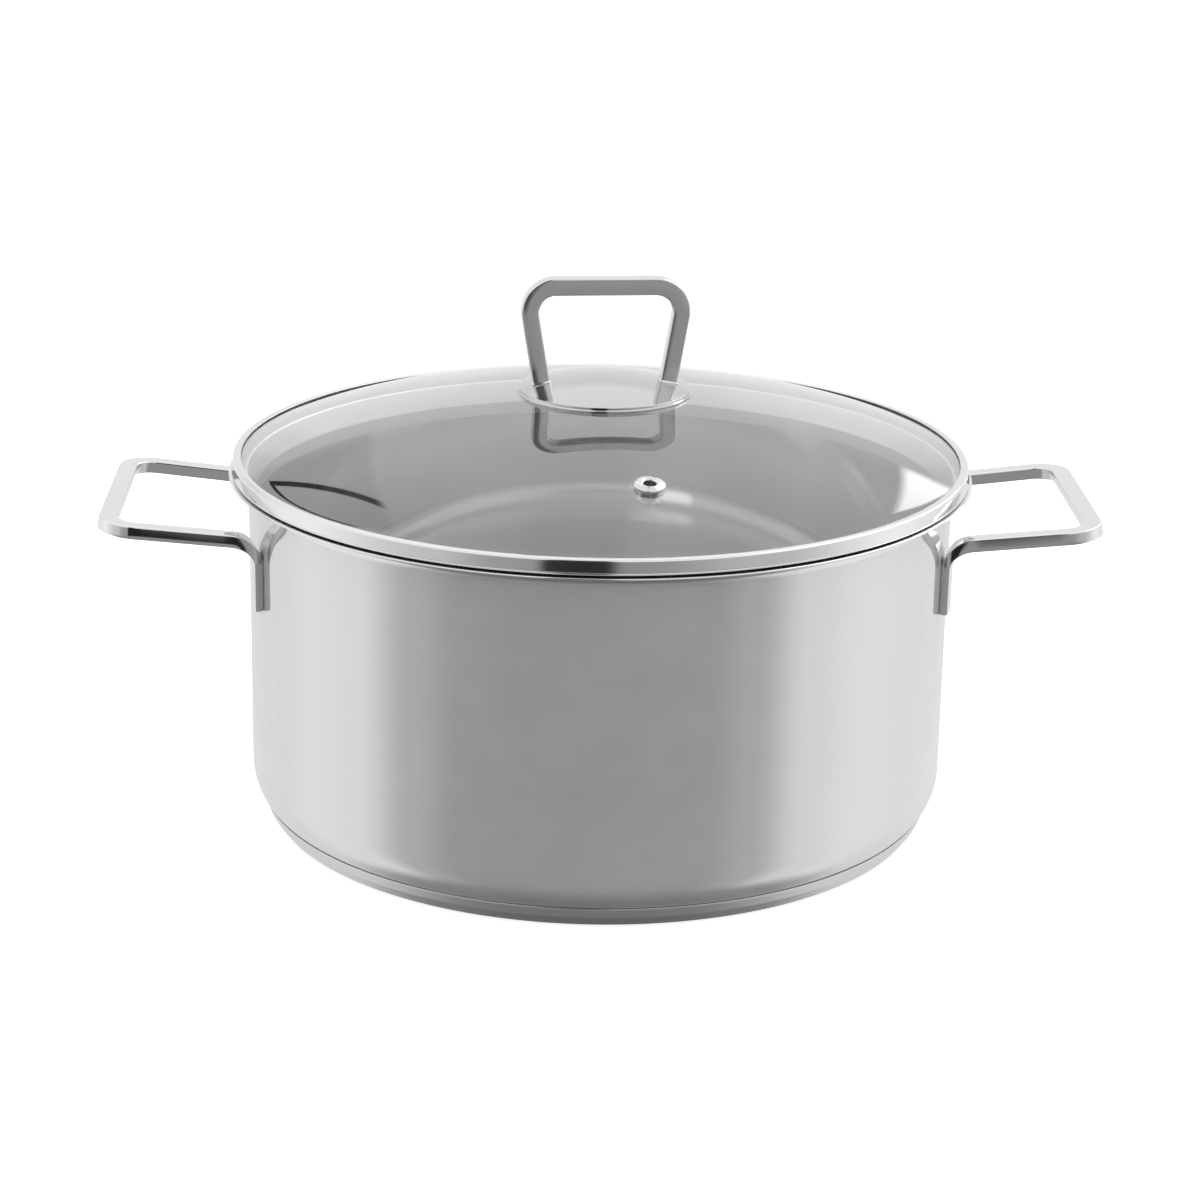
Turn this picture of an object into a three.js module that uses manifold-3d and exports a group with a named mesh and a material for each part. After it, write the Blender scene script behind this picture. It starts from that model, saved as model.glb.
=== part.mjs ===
// Round stock pot with a domed glass lid. Millimetres, +Z up, the base standing on z = 0.
// The two side handles lie along X. Every figure the shape hangs on is named here.
import * as THREE from 'three';
import * as BufferGeometryUtils from 'three/addons/utils/BufferGeometryUtils.js';
import Module from 'manifold-3d';

const wasm = await Module();
wasm.setup();

const ROUND = 60; // facets of the large turned parts
const ROUND_MID = 36; // facets of the handle's plate
const ROUND_SMALL = 20; // facets of screws, washers and the vent
const FIT = 0.3; // clearance between curved neighbours
const FACE = 0.05; // clearance between flat neighbours

// pot shell
const WALL_R = 120.8; // outside of the straight wall
const SHEET = 0.8;
const LIP_R = 127.45; // pouring lip, outer edge
const LIP_TOP = 121.6;
const LIP_EASE = 0.3;
const FLARE_R = 6.0; // inside bend under the lip
const CORNER_R = 17.3; // turn from wall to floor
const CORNER_Z = 18.2; // where that turn begins
const CORNER_DEG = 40.3; // how far it turns before the tight part
const CORNER_TIGHT_R = 3.4;

// base
const CAP_TOP = 7.0;
const CAP_R = 117.2; // outer edge of the capsule's rim
const CAP_KNEE_R = 116.1; // where the side leans in towards the foot
const CAP_KNEE_Z = 3.6;
const CAP_FLAT_R = 113.5; // the flat the pot stands on
const CAP_EASE = 0.35;
const CAP_SHEET = 0.6;
const CAP_RIM = 0.7; // width of the rim at the joint with the shell
const DISC_R = 111.4;
const DISC_EASE = 1.5;

// side handles
const HANDLE_REACH = 169.1; // axis to the outer edge of the loop
const HANDLE_TOP = 108.2; // top face where its line meets the wall
const HANDLE_RISE = 5.6; // degrees
const BAR_W = 6.3;
const BAR_T = 4.2;
const ARM_Y = 38.44; // middle of an arm at x = ARM_FROM
const ARM_SPREAD = 0.046; // arms part by this much per mm outward
const ARM_FROM = 120.0;
const BAR_EDGE = 0.5;
const LEG_SWELL = 0.2; // the leg is this much thicker at the bend
const BEND_STEPS = 6;
const LOOP_CORNER_R = 9.5; // middle of the bar
const BEND_R = 8.6; // middle of the bar, down onto the wall
const LEG_AZ = 18.4; // degrees from X to the middle of a leg
const LEG_T = 2.7;
const LEG_W = 6.6;
const LEG_BOTTOM = 82.0;

// glass
const GLASS_TOP = 148.2;
const DOME_R = 358.5;
const GLASS_T = 3.6;
const GLASS_R = 124.0;
const GLASS_BEND_R = 121.0; // outside this the glass levels out
const GLASS_RIM_TOP = 126.55;
const GLASS_RIM_LOW = 122.85;
const GLASS_EASE = 0.7;
const GLASS_STEPS = 6;
const HUB_HOLE_R = 5.0;

// steel band round the glass, and the seal inside it
const BAND_R = 126.5;
const BAND_TOP = 127.35;
const BAND_LOW = 122.0;
const BAND_SHEET = 0.4;
const BAND_IN_TOP = 123.2; // edge of the band on the glass
const BAND_EDGE = 0.5; // its top outer corner
const CONE_TOP_R = 122.2; // a cone under the band centres the lid in the flare
const SKIRT_R = 118.8; // skirt that drops inside the pot from that cone
const SKIRT_TOP = 114.6;
const SKIRT_LOW = 110.0;
const SEAL_EASE = 0.7;
const SEAL_DROP = 0.35; // room between the seal and the band over it

// lid handle
const GRIP_TURN = 3.8; // degrees the lid stands turned on the pot
const PLATE_R = 29.8;
const PLATE_TOP = 154.2;
const PLATE_CURVE = 206.0; // top falls r * r / PLATE_CURVE
const PLATE_T = 1.0;
const PLATE_STEPS = 4;
const PLATE_EDGE = 0.9; // width of the eased edge
const GRIP_TOP = 188.25;
const GRIP_FACE = 5.7;
const GRIP_DEPTH = 6.0;
const GRIP_HALF = 25.8; // middle of the bar at its widest
const GRIP_WIDE_Z = 176.4;
const GRIP_FOOT_X = 22.3;
const GRIP_CORNER_R = 8.8;
const GRIP_EDGE = 0.55;
const FOOT_GAP = 0.4; // between the handle's feet and the plate
const BOSS_R = 6.0;
const BOSS_NECK_R = 4.2;
const BOSS_BORE_R = 2.3;
const BOSS_LAND_R = 5.0; // where the plate's underside meets the boss
const GASKET_R = 9.0;
const GASKET_T = 0.8;
const WASHER_R = 8.0;
const WASHER_T = 0.9;
const SCREW_R = 2.0;
const SCREW_HEAD_R = 4.0;
const SCREW_HEAD_H = 2.6;
const SCREW_GRIP = 1.3; // thread above the boss's seat
const CROSS_L = 3.6;
const CROSS_W = 0.8;
const CROSS_DEEP = 0.9;

// vent
const VENT_R = 84.0;
const VENT_AZ = -81.4;
const VENT_FLANGE_R = 5.15;
const VENT_FLANGE_TOP = 2.0; // above the glass
const VENT_FLANGE_LOW = 1.0;
const VENT_CRIMP_T = 0.6;
const VENT_BORE_R = 2.05;
const VENT_TUBE_R = 2.8;
const VENT_HOLE_R = 3.3;

const rad = (d) => d * Math.PI / 180;

function steel(color, roughness) {
  return new THREE.MeshStandardMaterial({ color, metalness: 1.0, roughness });
}

const make = {
  mirror: () => steel(0xc9cbcd, 0.18),
  satin: () => steel(0xb4b7b9, 0.35),
  dull: () => steel(0xa9abac, 0.45),
  aluminium: () => steel(0xc5c7c9, 0.5),
  glass: () => new THREE.MeshStandardMaterial({
    color: 0xdfe8e6, roughness: 0.05, transparent: true, opacity: 0.35,
  }),
  silicone: () => new THREE.MeshStandardMaterial({ color: 0xb9bcbb, roughness: 0.7 }),
};

// ---- helpers -------------------------------------------------------------

// arc of a profile in (radius, height), angles in degrees
function arc(cr, cz, r, from, to, steps) {
  const out = [];
  for (let i = 0; i <= steps; i += 1) {
    const a = rad(from + (to - from) * i / steps);
    out.push([cr + r * Math.cos(a), cz + r * Math.sin(a)]);
  }
  return out;
}

// a closed loop of (radius, height) points turned about Z
function turned(points, segments) {
  const loop = [...points, points[0]].map(([r, z]) => new THREE.Vector2(Math.max(r, 0), z));
  const geometry = new THREE.LatheGeometry(loop, segments);
  geometry.rotateX(Math.PI / 2);
  return asSolid(geometry);
}

function weld(geometry) {
  const bare = geometry.clone();
  bare.deleteAttribute('normal');
  bare.deleteAttribute('uv');
  return BufferGeometryUtils.mergeVertices(bare, 1e-4);
}

// drops triangles that fold to nothing, and turns an inside-out shell the right way
function asSolid(geometry) {
  const g = weld(geometry);
  const pos = g.attributes.position;
  const kept = [];
  let volume = 0;
  const a = new THREE.Vector3();
  const b = new THREE.Vector3();
  const c = new THREE.Vector3();
  for (let i = 0; i < g.index.count; i += 3) {
    const [p, q, r] = [g.index.getX(i), g.index.getX(i + 1), g.index.getX(i + 2)];
    if (p === q || q === r || r === p) continue;
    kept.push(p, q, r);
    a.fromBufferAttribute(pos, p);
    b.fromBufferAttribute(pos, q);
    c.fromBufferAttribute(pos, r);
    volume += a.dot(b.cross(c));
  }
  if (volume < 0) {
    for (let i = 0; i < kept.length; i += 3) {
      [kept[i + 1], kept[i + 2]] = [kept[i + 2], kept[i + 1]];
    }
  }
  g.setIndex(kept);
  g.computeVertexNormals();
  return g;
}

function toManifold(geometry) {
  const g = weld(geometry);
  return new wasm.Manifold(new wasm.Mesh({
    numProp: 3,
    vertProperties: new Float32Array(g.attributes.position.array),
    triVerts: new Uint32Array(g.index.array),
  }));
}

function fromManifold(manifold) {
  const m = manifold.getMesh();
  const g = new THREE.BufferGeometry();
  g.setAttribute('position', new THREE.BufferAttribute(new Float32Array(m.vertProperties), 3));
  g.setIndex(new THREE.BufferAttribute(new Uint32Array(m.triVerts), 1));
  g.computeVertexNormals();
  return g;
}

// skin over a row of equal rings of points, closed at both ends
function loft(rings) {
  const n = rings[0].length;
  const flat = rings.flat();
  const index = [];
  for (let i = 0; i + 1 < rings.length; i += 1) {
    for (let k = 0; k < n; k += 1) {
      const a = i * n + k;
      const b = i * n + (k + 1) % n;
      index.push(a, b, b + n, a, b + n, a + n);
    }
  }
  const last = (rings.length - 1) * n;
  for (let k = 1; k + 1 < n; k += 1) {
    index.push(0, k + 1, k);
    index.push(last, last + k, last + k + 1);
  }
  const g = new THREE.BufferGeometry();
  g.setAttribute('position', new THREE.Float32BufferAttribute(flat.flatMap((p) => p.toArray()), 3));
  g.setIndex(index);
  return asSolid(g);
}

// one ring of a bar: an oblong with cut corners, across the directions w and t
function barRing(centre, w, t, width, thick, cut) {
  const x = width / 2;
  const y = thick / 2;
  const corners = [
    [x, y - cut], [x - cut, y], [cut - x, y], [-x, y - cut],
    [-x, cut - y], [cut - x, -y], [x - cut, -y], [x, cut - y],
  ];
  return corners.map(([u, v]) => centre.clone().addScaledVector(w, u).addScaledVector(t, v));
}

function named(name, geometry, material) {
  const mesh = new THREE.Mesh(geometry, material);
  mesh.name = name;
  return mesh;
}

// ---- pot -----------------------------------------------------------------

// where the tight part of the corner begins, and the centre it turns about
function cornerTurn() {
  const cr = WALL_R - CORNER_R;
  const a = rad(CORNER_DEG);
  const r = cr + (CORNER_R - CORNER_TIGHT_R) * Math.cos(a);
  const z = CORNER_Z - (CORNER_R - CORNER_TIGHT_R) * Math.sin(a);
  return { cr, r, z, floor: z - CORNER_TIGHT_R };
}

function potShell() {
  const c = cornerTurn();
  const flareR = WALL_R + FLARE_R;
  const flareZ = LIP_TOP - SHEET - FLARE_R;
  const outside = [
    [0, c.floor],
    ...arc(c.r, c.z, CORNER_TIGHT_R, -90, -CORNER_DEG, 2),
    ...arc(c.cr, CORNER_Z, CORNER_R, -CORNER_DEG, 0, 4).slice(1),
    ...arc(flareR, flareZ, FLARE_R, 180, 90, 4),
    [LIP_R - LIP_EASE, LIP_TOP - SHEET],
    [LIP_R, LIP_TOP - SHEET / 2],
    [LIP_R - LIP_EASE, LIP_TOP],
  ];
  const inside = [
    ...arc(flareR, flareZ, FLARE_R + SHEET, 90, 180, 4),
    ...arc(c.cr, CORNER_Z, CORNER_R - SHEET, 0, -CORNER_DEG, 4),
    ...arc(c.r, c.z, CORNER_TIGHT_R - SHEET, -CORNER_DEG, -90, 2).slice(1),
    [0, c.floor + SHEET],
  ];
  return turned([...outside, ...inside], ROUND);
}

// the rim stops just short of the shell's corner
function baseCap() {
  const outside = [
    [0, 0],
    [CAP_FLAT_R - CAP_EASE, 0],
    [CAP_FLAT_R, CAP_EASE],
    [CAP_KNEE_R, CAP_KNEE_Z],
    [CAP_R, CAP_TOP - CAP_EASE],
    [CAP_R - CAP_EASE, CAP_TOP],
  ];
  const inside = [
    [CAP_R - CAP_RIM, CAP_TOP - CAP_RIM],
    [CAP_KNEE_R - CAP_SHEET, CAP_KNEE_Z + CAP_EASE],
    [CAP_FLAT_R - CAP_SHEET, CAP_SHEET + CAP_EASE],
    [CAP_FLAT_R - CAP_SHEET - CAP_EASE, CAP_SHEET],
    [0, CAP_SHEET],
  ];
  return turned([...outside, ...inside], ROUND);
}

function baseHeatDisc() {
  const top = cornerTurn().floor - FACE;
  const low = CAP_SHEET + FACE;
  const edge = [[DISC_R - DISC_EASE, low], [DISC_R, low + DISC_EASE], [DISC_R, top]];
  return turned([[0, low], ...edge, [0, top]], ROUND);
}

// height of the middle of a side handle's bar at distance x from the axis
function handleLine(x) {
  const slope = Math.tan(rad(HANDLE_RISE));
  return HANDLE_TOP - BAR_T / 2 / Math.cos(rad(HANDLE_RISE)) + (x - WALL_R) * slope;
}

function armY(x) {
  return ARM_Y + ARM_SPREAD * (x - ARM_FROM);
}

// foot of a leg, up to the bend and round it onto the arm
function legStations() {
  const out = [];
  const add = (centre, along, turn, width, thick) => {
    const t = along.clone().normalize();
    const w = new THREE.Vector3(-Math.sin(turn), Math.cos(turn), 0);
    w.addScaledVector(t, -w.dot(t)).normalize();
    out.push({ centre, w, n: w.clone().cross(t), width, thick });
  };
  const az = rad(LEG_AZ);
  const legR = WALL_R + FIT + LEG_T / 2;
  const legX = legR * Math.cos(az);
  const legY = legR * Math.sin(az);
  const bendX = legX + BEND_R;
  const bendZ = handleLine(bendX) - BEND_R / Math.cos(rad(HANDLE_RISE));
  add(new THREE.Vector3(legX, legY, LEG_BOTTOM), new THREE.Vector3(0, 0, -1), az, LEG_W, LEG_T);
  for (let i = BEND_STEPS; i >= 0; i -= 1) {
    const f = i / BEND_STEPS;
    const a = rad(90 + HANDLE_RISE + (90 - HANDLE_RISE) * f);
    const thick = BAR_T + (LEG_T + LEG_SWELL - BAR_T) * f;
    const x = bendX + BEND_R * Math.cos(a) + (BAR_T - thick) * f / 4;
    const y = legY + (armY(bendX) - legY) * (1 - f);
    const z = bendZ + BEND_R * Math.sin(a);
    const along = new THREE.Vector3(-Math.sin(a), 0, Math.cos(a));
    add(new THREE.Vector3(x, y, z), along, az * f, BAR_W + (LEG_W - BAR_W) * f, thick);
  }
  return out;
}

// round the outer corner of the loop, to where the grip runs across
function loopStations() {
  const endX = HANDLE_REACH - BAR_W / 2;
  const cx = endX - LOOP_CORNER_R;
  const spread = Math.atan(ARM_SPREAD);
  const cy = armY(cx) - LOOP_CORNER_R / Math.cos(spread);
  const rise = Math.tan(rad(HANDLE_RISE));
  const out = [];
  for (let i = 0; i <= BEND_STEPS; i += 1) {
    const a = (Math.PI / 2 + spread) * (1 - i / BEND_STEPS);
    const x = cx + LOOP_CORNER_R * Math.cos(a);
    const y = cy + LOOP_CORNER_R * Math.sin(a);
    const w = new THREE.Vector3(Math.cos(a), Math.sin(a), Math.cos(a) * rise).normalize();
    const t = new THREE.Vector3(-Math.sin(a), Math.cos(a), -Math.sin(a) * rise).normalize();
    const centre = new THREE.Vector3(x, y, handleLine(x));
    out.push({ centre, w, n: w.clone().cross(t), width: BAR_W, thick: BAR_T });
  }
  return out;
}

// the far half mirrors the near one, so its rings run in step with the first
function sideHandle(side) {
  const stations = [...legStations(), ...loopStations()];
  const near = stations.map((s) => barRing(s.centre, s.w, s.n, s.width, s.thick, BAR_EDGE));
  const far = near.map((ring) => ring.map((p) => new THREE.Vector3(p.x, -p.y, p.z))).reverse();
  const g = loft([...near, ...far]);
  if (side < 0) g.rotateZ(Math.PI);
  return g;
}

// ---- lid -----------------------------------------------------------------

// height of the dome at radius r, or of a face lying drop under it
function domeZ(r, drop = 0) {
  const big = DOME_R - drop;
  return GLASS_TOP - DOME_R + Math.sqrt(big * big - r * r);
}

function lidGlass() {
  const top = [];
  const low = [];
  for (let i = 0; i <= GLASS_STEPS; i += 1) {
    const r = HUB_HOLE_R + (GLASS_BEND_R - HUB_HOLE_R) * i / GLASS_STEPS;
    top.push([r, domeZ(r)]);
    low.push([r, domeZ(r, GLASS_T)]);
  }
  const edge = [
    [GLASS_R - GLASS_EASE, GLASS_RIM_TOP],
    [GLASS_R, GLASS_RIM_TOP - GLASS_EASE],
    [GLASS_R, GLASS_RIM_LOW + GLASS_EASE],
    [GLASS_R - GLASS_EASE, GLASS_RIM_LOW],
  ];
  const body = toManifold(turned([...top, ...edge, ...low.reverse()], ROUND));
  const drill = new THREE.CylinderGeometry(VENT_HOLE_R, VENT_HOLE_R, GLASS_T * 4, ROUND_SMALL);
  drill.rotateX(Math.PI / 2);
  drill.applyMatrix4(ventPlace());
  return fromManifold(body.subtract(toManifold(drill)));
}

// one sheet: over the edge of the glass, down its outside, in under it, then cone and skirt
function lidRimBand() {
  const s = BAND_SHEET;
  const outside = [
    [BAND_IN_TOP, BAND_TOP - s],
    [BAND_IN_TOP, BAND_TOP],
    [BAND_R - BAND_EDGE, BAND_TOP],
    [BAND_R, BAND_TOP - BAND_EDGE],
    [BAND_R, BAND_LOW + BAND_EDGE],
    [BAND_R - BAND_EDGE, BAND_LOW],
    [CONE_TOP_R, BAND_LOW],
    [SKIRT_R, SKIRT_TOP],
    [SKIRT_R, SKIRT_LOW],
  ];
  const inside = [
    [SKIRT_R - s, SKIRT_LOW],
    [SKIRT_R - s, SKIRT_TOP],
    [CONE_TOP_R - s, BAND_LOW + s],
    [BAND_R - s - BAND_EDGE, BAND_LOW + s],
    [BAND_R - s, BAND_LOW + s + BAND_EDGE],
    [BAND_R - s, BAND_TOP - s - BAND_EDGE],
    [BAND_R - s - BAND_EDGE, BAND_TOP - s],
  ];
  return turned([...outside, ...inside], ROUND);
}

// lies in the band, outside the edge of the glass
function lidRimSeal() {
  const low = BAND_LOW + BAND_SHEET + FACE * 2;
  const top = BAND_TOP - BAND_SHEET - FIT - SEAL_DROP;
  const inner = GLASS_R + FIT;
  const outer = BAND_R - BAND_SHEET - FIT;
  const points = [
    [inner, low], [outer - SEAL_EASE, low], [outer, low + SEAL_EASE],
    [outer, top - SEAL_EASE], [outer - SEAL_EASE, top], [inner, top],
  ];
  return turned(points, ROUND);
}

function plateZ(r) {
  return PLATE_TOP - r * r / PLATE_CURVE;
}

// foot of one leg, up, and round the top corner
function gripStations() {
  const footZ = plateZ(GRIP_FOOT_X);
  const lean = Math.atan2(GRIP_HALF - GRIP_FOOT_X, GRIP_WIDE_Z - footZ);
  const legX = (z) => GRIP_FOOT_X + (z - footZ) * Math.tan(lean);
  const cz = GRIP_TOP - GRIP_FACE / 2 - GRIP_CORNER_R;
  const cx = legX(cz) - GRIP_CORNER_R / Math.cos(lean);
  const stations = [{ x: legX(footZ + FOOT_GAP), z: footZ + FOOT_GAP, a: -lean }];
  for (let i = 0; i <= BEND_STEPS; i += 1) {
    const a = -lean + (Math.PI / 2 + lean) * i / BEND_STEPS;
    stations.push({ x: cx + GRIP_CORNER_R * Math.cos(a), z: cz + GRIP_CORNER_R * Math.sin(a), a });
  }
  return stations;
}

function lidHandle() {
  const across = new THREE.Vector3(0, 1, 0);
  const near = gripStations().map(({ x, z, a }) => {
    const out = new THREE.Vector3(Math.cos(a), 0, Math.sin(a));
    return barRing(new THREE.Vector3(x, 0, z), out, across, GRIP_FACE, GRIP_DEPTH, GRIP_EDGE);
  });
  const far = near.map((ring) => ring.map((p) => new THREE.Vector3(-p.x, p.y, p.z))).reverse();
  const g = loft([...near, ...far]);
  g.rotateZ(rad(GRIP_TURN));
  return g;
}

function lidHandlePlate() {
  const top = [];
  const low = [];
  for (let i = 0; i <= PLATE_STEPS; i += 1) {
    const r = (PLATE_R - PLATE_EDGE) * i / PLATE_STEPS;
    top.push([r, plateZ(r)]);
    low.push([r, plateZ(r) - PLATE_T]);
  }
  const edge = [
    [PLATE_R, plateZ(PLATE_R) - PLATE_T / 4],
    [PLATE_R, plateZ(PLATE_R) - PLATE_T * 3 / 4],
  ];
  return turned([...top, ...edge, ...low.reverse()], ROUND_MID);
}

// the stack through the hub hole, from the top: boss, gasket, glass, gasket, washer, screw
const gasketUpperLow = () => GLASS_TOP + FIT;
const bossSeat = () => gasketUpperLow() + GASKET_T + FACE;
const gasketLowerTop = () => domeZ(GASKET_R, GLASS_T) - FIT;
const washerTop = () => gasketLowerTop() - WASHER_T - FACE;
const screwSeat = () => washerTop() - WASHER_T - FACE;

function washerRing(inner, outer, top, thick) {
  const low = top - thick;
  return turned([[inner, top], [inner, low], [outer, low], [outer, top]], ROUND_SMALL);
}

function lidHandleBoss() {
  const top = plateZ(BOSS_LAND_R) - PLATE_T - FIT;
  const seat = bossSeat();
  const low = GLASS_TOP - GLASS_T + FIT * 2;
  const blind = seat + SCREW_GRIP + FIT;
  const points = [
    [0, top], [BOSS_R, top], [BOSS_R, seat], [BOSS_NECK_R, seat], [BOSS_NECK_R, low],
    [BOSS_BORE_R, low], [BOSS_BORE_R, blind], [0, blind],
  ];
  return turned(points, ROUND_SMALL);
}

function lidHandleGasketUpper() {
  return washerRing(BOSS_NECK_R + FIT, GASKET_R, gasketUpperLow() + GASKET_T, GASKET_T);
}

function lidHandleGasketLower() {
  return washerRing(BOSS_BORE_R + FIT, GASKET_R, gasketLowerTop(), WASHER_T);
}

function lidHandleWasher() {
  return washerRing(BOSS_BORE_R, WASHER_R, washerTop(), WASHER_T);
}

function lidHandleScrew() {
  const seat = screwSeat();
  const low = seat - SCREW_HEAD_H;
  const points = [
    [0, low], [SCREW_HEAD_R * 0.6, low], [SCREW_HEAD_R * 0.9, low + SCREW_HEAD_H / 4],
    [SCREW_HEAD_R, low + SCREW_HEAD_H * 0.6], [SCREW_HEAD_R, seat],
    [SCREW_R, seat], [SCREW_R, bossSeat() + SCREW_GRIP], [0, bossSeat() + SCREW_GRIP],
  ];
  let body = toManifold(turned(points, ROUND_SMALL));
  for (const turn of [0, Math.PI / 2]) {
    const slot = new THREE.BoxGeometry(CROSS_L, CROSS_W, CROSS_DEEP * 2);
    slot.rotateZ(turn);
    slot.translate(0, 0, low);
    body = body.subtract(toManifold(slot));
  }
  return fromManifold(body);
}

// puts a piece made about Z, with z = 0 on the glass, square on the dome at the vent
function ventPlace() {
  const place = new THREE.Matrix4().makeRotationZ(rad(VENT_AZ));
  place.multiply(new THREE.Matrix4().makeTranslation(VENT_R, 0, domeZ(VENT_R)));
  place.multiply(new THREE.Matrix4().makeRotationY(Math.asin(VENT_R / DOME_R)));
  return place;
}

// flange over the glass, tube through it, and the end crimped out below
function ventEyelet() {
  const under = -GLASS_T - FIT;
  const step = VENT_CRIMP_T / 4;
  const crimpR = VENT_FLANGE_R - VENT_CRIMP_T;
  const points = [
    [VENT_BORE_R, VENT_FLANGE_TOP - step * 2], [VENT_TUBE_R, VENT_FLANGE_TOP],
    [VENT_FLANGE_R - VENT_CRIMP_T, VENT_FLANGE_TOP - VENT_CRIMP_T],
    [VENT_FLANGE_R, VENT_FLANGE_LOW + step * 2], [VENT_FLANGE_R - step, VENT_FLANGE_LOW],
    [VENT_TUBE_R, VENT_FLANGE_LOW], [VENT_TUBE_R, under], [crimpR, under - step],
    [crimpR, under - VENT_CRIMP_T], [VENT_TUBE_R, under - VENT_CRIMP_T - step],
    [VENT_BORE_R, under - step * 2],
  ];
  const g = turned(points, ROUND_SMALL);
  g.applyMatrix4(ventPlace());
  return g;
}

function ventSeal() {
  const top = VENT_FLANGE_LOW - FACE;
  const outer = VENT_FLANGE_R - VENT_CRIMP_T;
  const g = washerRing(VENT_TUBE_R + FIT / 2, outer, top, top - FIT);
  g.applyMatrix4(ventPlace());
  return g;
}

// ---- assembly ------------------------------------------------------------

const pot = new THREE.Group();
pot.name = 'stock_pot';
pot.add(
  named('pot_shell', potShell(), make.mirror()),
  named('base_heat_disc', baseHeatDisc(), make.aluminium()),
  named('base_cap', baseCap(), make.satin()),
  named('side_handle_left', sideHandle(-1), make.mirror()),
  named('side_handle_right', sideHandle(1), make.mirror()),
  named('lid_rim_band', lidRimBand(), make.mirror()),
  named('lid_rim_seal', lidRimSeal(), make.silicone()),
  named('lid_glass', lidGlass(), make.glass()),
  named('lid_handle', lidHandle(), make.satin()),
  named('lid_handle_plate', lidHandlePlate(), make.mirror()),
  named('lid_handle_boss', lidHandleBoss(), make.dull()),
  named('lid_handle_gasket_upper', lidHandleGasketUpper(), make.silicone()),
  named('lid_handle_gasket_lower', lidHandleGasketLower(), make.silicone()),
  named('lid_handle_washer', lidHandleWasher(), make.dull()),
  named('lid_handle_screw', lidHandleScrew(), make.dull()),
  named('vent_eyelet', ventEyelet(), make.mirror()),
  named('vent_seal', ventSeal(), make.silicone()),
);

export default pot;
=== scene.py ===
"""A round stainless steel pot with a domed glass lid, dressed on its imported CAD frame."""
import math

import bpy
from mathutils import Matrix, Vector


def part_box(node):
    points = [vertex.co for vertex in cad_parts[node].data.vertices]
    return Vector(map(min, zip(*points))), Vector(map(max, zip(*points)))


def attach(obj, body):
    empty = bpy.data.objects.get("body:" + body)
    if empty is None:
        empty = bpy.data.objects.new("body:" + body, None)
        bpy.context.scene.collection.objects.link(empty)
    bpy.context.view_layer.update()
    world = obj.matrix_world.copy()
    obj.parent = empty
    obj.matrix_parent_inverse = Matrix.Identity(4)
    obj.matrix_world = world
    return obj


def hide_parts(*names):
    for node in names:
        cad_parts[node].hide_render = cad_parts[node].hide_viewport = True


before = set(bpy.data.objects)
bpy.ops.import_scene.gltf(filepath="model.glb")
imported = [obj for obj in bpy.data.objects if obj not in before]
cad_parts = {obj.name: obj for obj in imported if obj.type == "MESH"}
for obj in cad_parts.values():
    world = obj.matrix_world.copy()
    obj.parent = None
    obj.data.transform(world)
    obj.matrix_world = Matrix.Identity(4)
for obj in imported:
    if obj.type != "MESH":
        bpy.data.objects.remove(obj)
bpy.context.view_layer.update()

MM = 0.001
ROUND = 256  # facets round the large turned pieces
FINE = 64  # facets round the small ones
NEAR = 0.004  # points of an outline closer than this count as one

# view
TURN = 2.2  # degrees the pot stands turned to the camera
RISE = 18.11  # degrees the camera stands above level
ROLL = 1.0
LENS = 95.64
DISTANCE = 1114.2
AIM_SIDE = 0.59
AIM_HEIGHT = 73.2

# pot, all in millimetres
shell_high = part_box("pot_shell")[1]
LIP_R = shell_high.x / MM
LIP_TOP = shell_high.z / MM
SHEET = 0.8
WALL_R = 120.8
FLARE_R = 4.2
CORNER_R = 17.3
CORNER_Z = 18.2
CORNER_DEG = 40.3
CORNER_TIGHT_R = 3.4
CAP_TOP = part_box("base_cap")[1].z / MM
CAP_R = 117.1
CAP_FLAT_R = 113.5
CAP_SHEET = 0.6

# side handles
HANDLE_REACH = 169.1
HANDLE_TOP = 108.2
HANDLE_RISE = 5.6
BAR_W = 6.3
BAR_T = 4.2
BAR_EDGE = 0.42
ARM_Y = 38.44  # half the distance between the arms, at ARM_FROM
ARM_FROM = 120.0
ARM_SPREAD = 0.046  # the arms part by this much for each mm outward
LOOP_CORNER_R = 9.5
BEND_R = 8.6
BAR_LEAN = 0.09  # the bar's sides lean, foot outward
LEG_AZ = 18.4
LEG_T = 2.9
LEG_W = 6.6
LEG_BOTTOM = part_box("side_handle_right")[0].z / MM

# lid
GLASS_TOP = 148.2
DOME_R = 358.5
FULL = 1.5  # the dome stands this much above a sphere at FULL_R, and less towards start and end
FULL_START = 9.0
FULL_R = 22.0
FULL_END = 80.0
GLASS_T = 3.6
GLASS_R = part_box("lid_glass")[1].x / MM
GLASS_BEND_R = 121.0
GLASS_RIM_TOP = 126.55
GLASS_RIM_LOW = 122.85
HUB_HOLE_R = 5.0
band_low, band_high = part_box("lid_rim_band")
BAND_R = band_high.x / MM
BAND_TOP = band_high.z / MM
SKIRT_LOW = band_low.z / MM
BAND_LOW = 122.0
BAND_SHEET = 0.4
BAND_LEAN = 0.4  # the band's face is this much narrower at the top
BAND_IN_TOP = 123.2
CONE_TOP_R = 121.4
SKIRT_R = 118.8
SKIRT_TOP = 114.6
plate_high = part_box("lid_handle_plate")[1]
PLATE_R = plate_high.x / MM
PLATE_TOP = plate_high.z / MM
PLATE_CURVE = 206.0
PLATE_T = 0.8
GRIP_TURN = 3.8  # degrees the bail is turned on the lid
GRIP_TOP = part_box("lid_handle")[1].z / MM
GRIP_FACE = 6.05
GRIP_DEPTH = 6.0
GRIP_HALF = 25.9
GRIP_ASIDE = Matrix.Translation(Vector((0.8 * MM, 0, 0)))  # it stands a little to the right
GRIP_WIDE_Z = 176.4
GRIP_FOOT_X = 21.8
GRIP_CORNER_R = 8.8

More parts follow.
